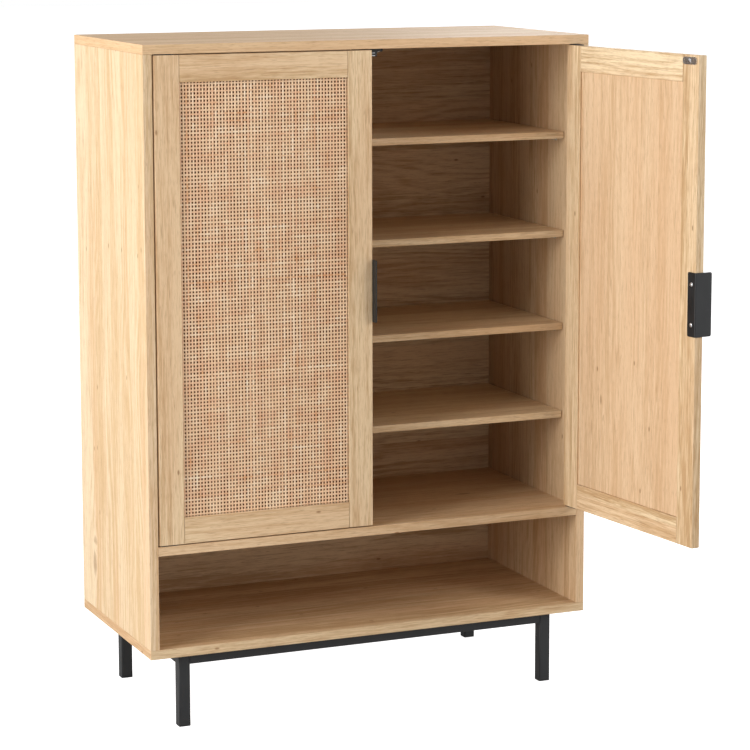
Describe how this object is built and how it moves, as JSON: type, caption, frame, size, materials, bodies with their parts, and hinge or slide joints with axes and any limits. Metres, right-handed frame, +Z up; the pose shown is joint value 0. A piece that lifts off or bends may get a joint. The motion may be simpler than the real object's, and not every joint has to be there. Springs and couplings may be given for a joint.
{
  "type": "shoe cabinet",
  "caption": "Tall oak shoe cabinet on a black steel base: cane-filled framed doors over adjustable shelves, with an open compartment below.",
  "frame": {"origin": "on the floor, under the middle of the whole object's box with the right door standing open", "axes": "+Z up, the front faces -Y, +X to the right seen from the front"},
  "size_m": [0.8384, 0.7376, 1.137],
  "materials": {
    "oak_carcass": "matt lacquered light oak veneer with long fine grain",
    "oak_inside": "matt lacquered light oak veneer, plainer than outside",
    "oak_doors": "matt lacquered light oak, vertical grain on stiles and panels, horizontal on rails",
    "cane": "natural woven cane, dry and slightly glossy on the bark side",
    "black_steel": "fine-textured black powder coat, satin",
    "bright_steel": "zinc-plated steel",
    "black_plastic": "moulded black plastic"
  },
  "bodies": {
    "cabinet": {"back_panel": "oak_inside", "base_rail_back": "black_steel", "base_rail_front": "black_steel", "base_rail_left": "black_steel", "base_rail_right": "black_steel", "bottom_panel": "oak_carcass", "catch_housing": "black_plastic", "fixed_shelf": "oak_carcass", "glide_back_left": "black_plastic", "glide_back_right": "black_plastic", "glide_front_left": "black_plastic", "glide_front_right": "black_plastic", "leg_back_left": "black_steel", "leg_back_right": "black_steel", "leg_front_left": "black_steel", "leg_front_right": "black_steel", "shelf_1": "oak_inside", "shelf_2": "oak_inside", "shelf_3": "oak_inside", "shelf_4": "oak_inside", "shelf_pin_1_back_left": "bright_steel", "shelf_pin_1_back_right": "bright_steel", "shelf_pin_1_front_left": "bright_steel", "shelf_pin_1_front_right": "bright_steel", "shelf_pin_2_back_left": "bright_steel", "shelf_pin_2_back_right": "bright_steel", "shelf_pin_2_front_left": "bright_steel", "shelf_pin_2_front_right": "bright_steel", "shelf_pin_3_back_left": "bright_steel", "shelf_pin_3_back_right": "bright_steel", "shelf_pin_3_front_left": "bright_steel", "shelf_pin_3_front_right": "bright_steel", "shelf_pin_4_back_left": "bright_steel", "shelf_pin_4_back_right": "bright_steel", "shelf_pin_4_front_left": "bright_steel", "shelf_pin_4_front_right": "bright_steel", "side_panel_left": "oak_carcass", "side_panel_right": "oak_carcass", "top_panel": "oak_carcass"},
    "left_door": {"bottom_rail_left": "oak_doors", "cane_webbing_left": "cane", "free_stile_left": "oak_doors", "handle_left": "black_steel", "hinge_stile_left": "oak_doors", "inner_panel_left": "oak_doors", "lower_pivot_left": "black_steel", "striker_left": "bright_steel", "top_rail_left": "oak_doors", "upper_pivot_left": "black_steel"},
    "right_door": {"bottom_rail_right": "oak_doors", "cane_webbing_right": "cane", "free_stile_right": "oak_doors", "handle_right": "black_steel", "hinge_stile_right": "oak_doors", "inner_panel_right": "oak_doors", "lower_pivot_right": "black_steel", "striker_right": "bright_steel", "top_rail_right": "oak_doors", "upper_pivot_right": "black_steel"}
  },
  "joints": [
    {"name": "left_door_hinge", "type": "hinge", "parent": "cabinet", "child": "left_door", "pos_m": [-0.3932, 0.00331, 0.317], "axis": [0, 0, -1], "range_deg": [0, 105]},
    {"name": "right_door_hinge", "type": "hinge", "parent": "cabinet", "child": "right_door", "pos_m": [0.35473, 0.00331, 0.317], "axis": [0, 0, 1], "range_deg": [-96.4, 8.6]}
  ]
}
